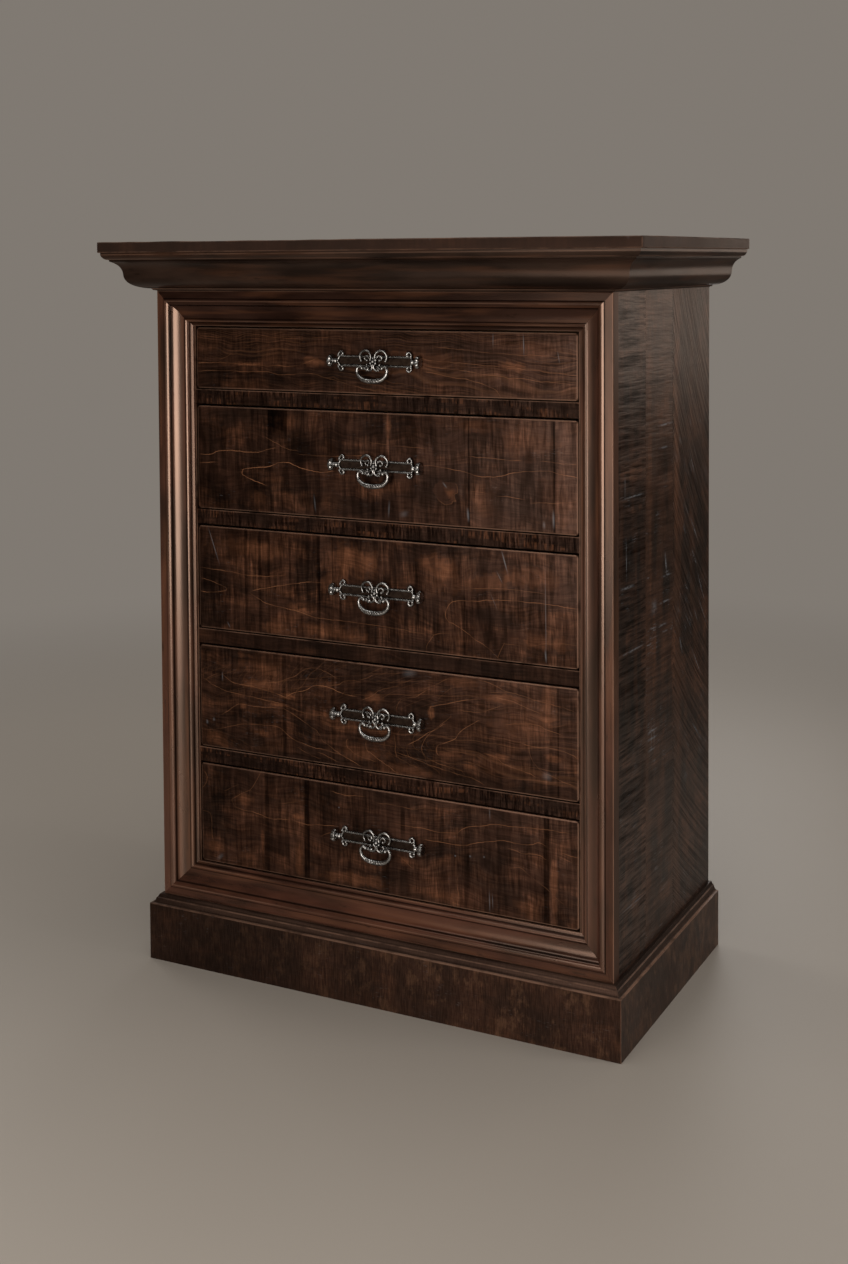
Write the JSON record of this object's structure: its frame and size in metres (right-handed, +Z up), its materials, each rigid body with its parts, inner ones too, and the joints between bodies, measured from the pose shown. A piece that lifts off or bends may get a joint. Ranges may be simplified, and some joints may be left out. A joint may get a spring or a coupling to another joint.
{
  "type": "highboy",
  "caption": "Tall chest of drawers in dark stained maple with a moulded crown, picture-frame moulding, plinth and cast bail pulls; every drawer slides and every bail swings.",
  "frame": {"origin": "on the floor, under the middle of the top board's plan", "axes": "+Z up, +X to the right seen from the front, drawers open towards -Y"},
  "size_m": [1.114, 0.622, 1.422],
  "materials": {
    "case_wood": "very dark brown stained maple, saw-marked, satin lacquer",
    "moulding_wood": "dark brown stained maple, smooth, satin lacquer with worn warm edges",
    "drawer_front_wood": "dark brown stained rustic maple with orange-brown figure and saw marks, satin lacquer",
    "inner_wood": "clear finished maple and poplar inside the chest",
    "pull_metal": "dark antiqued cast metal with bright rubbed edges"
  },
  "bodies": {
    "case": {"side_panel_left": "case_wood", "side_panel_right": "case_wood", "back_panel": "case_wood", "stile_left": "case_wood", "stile_right": "case_wood", "top_rail": "case_wood", "bottom_rail": "case_wood", "web_frame_1": "case_wood", "web_frame_2": "case_wood", "web_frame_3": "case_wood", "web_frame_4": "case_wood", "web_frame_5": "case_wood", "kicker_frame": "inner_wood", "base_board": "case_wood", "frame_moulding_top": "moulding_wood", "frame_moulding_bottom": "moulding_wood", "frame_moulding_left": "moulding_wood", "frame_moulding_right": "moulding_wood", "crown_front": "moulding_wood", "crown_left": "moulding_wood", "crown_right": "moulding_wood", "top_board": "case_wood", "plinth_front": "case_wood", "plinth_left": "case_wood", "plinth_right": "case_wood"},
    "drawer_1": {"drawer_1_front": "drawer_front_wood", "drawer_1_side_left": "inner_wood", "drawer_1_side_right": "inner_wood", "drawer_1_back": "inner_wood", "drawer_1_bottom": "inner_wood", "pull_1_plate": "pull_metal"},
    "bail_1": {"pull_1_bail": "pull_metal"},
    "drawer_2": {"drawer_2_front": "drawer_front_wood", "drawer_2_side_left": "inner_wood", "drawer_2_side_right": "inner_wood", "drawer_2_back": "inner_wood", "drawer_2_bottom": "inner_wood", "pull_2_plate": "pull_metal"},
    "bail_2": {"pull_2_bail": "pull_metal"},
    "drawer_3": {"drawer_3_front": "drawer_front_wood", "drawer_3_side_left": "inner_wood", "drawer_3_side_right": "inner_wood", "drawer_3_back": "inner_wood", "drawer_3_bottom": "inner_wood", "pull_3_plate": "pull_metal"},
    "bail_3": {"pull_3_bail": "pull_metal"},
    "drawer_4": {"drawer_4_front": "drawer_front_wood", "drawer_4_side_left": "inner_wood", "drawer_4_side_right": "inner_wood", "drawer_4_back": "inner_wood", "drawer_4_bottom": "inner_wood", "pull_4_plate": "pull_metal"},
    "bail_4": {"pull_4_bail": "pull_metal"},
    "drawer_5": {"drawer_5_front": "drawer_front_wood", "drawer_5_side_left": "inner_wood", "drawer_5_side_right": "inner_wood", "drawer_5_back": "inner_wood", "drawer_5_bottom": "inner_wood", "pull_5_plate": "pull_metal"},
    "bail_5": {"pull_5_bail": "pull_metal"}
  },
  "joints": [
    {"name": "drawer_1_slide", "type": "slide", "parent": "case", "child": "drawer_1", "axis": [0, -1, 0], "range_m": [0, 0.36]},
    {"name": "bail_1_swing", "type": "hinge", "parent": "drawer_1", "child": "bail_1", "pos_m": [0, -0.22, 1.185], "axis": [-1, 0, 0], "range_deg": [0, 85]},
    {"name": "drawer_2_slide", "type": "slide", "parent": "case", "child": "drawer_2", "axis": [0, -1, 0], "range_m": [0, 0.36]},
    {"name": "bail_2_swing", "type": "hinge", "parent": "drawer_2", "child": "bail_2", "pos_m": [0, -0.22, 0.9905], "axis": [-1, 0, 0], "range_deg": [0, 85]},
    {"name": "drawer_3_slide", "type": "slide", "parent": "case", "child": "drawer_3", "axis": [0, -1, 0], "range_m": [0, 0.36]},
    {"name": "bail_3_swing", "type": "hinge", "parent": "drawer_3", "child": "bail_3", "pos_m": [0, -0.22, 0.7545], "axis": [-1, 0, 0], "range_deg": [0, 85]},
    {"name": "drawer_4_slide", "type": "slide", "parent": "case", "child": "drawer_4", "axis": [0, -1, 0], "range_m": [0, 0.36]},
    {"name": "bail_4_swing", "type": "hinge", "parent": "drawer_4", "child": "bail_4", "pos_m": [0, -0.22, 0.5185], "axis": [-1, 0, 0], "range_deg": [0, 85]},
    {"name": "drawer_5_slide", "type": "slide", "parent": "case", "child": "drawer_5", "axis": [0, -1, 0], "range_m": [0, 0.36]},
    {"name": "bail_5_swing", "type": "hinge", "parent": "drawer_5", "child": "bail_5", "pos_m": [0, -0.22, 0.28575], "axis": [-1, 0, 0], "range_deg": [0, 85]}
  ]
}
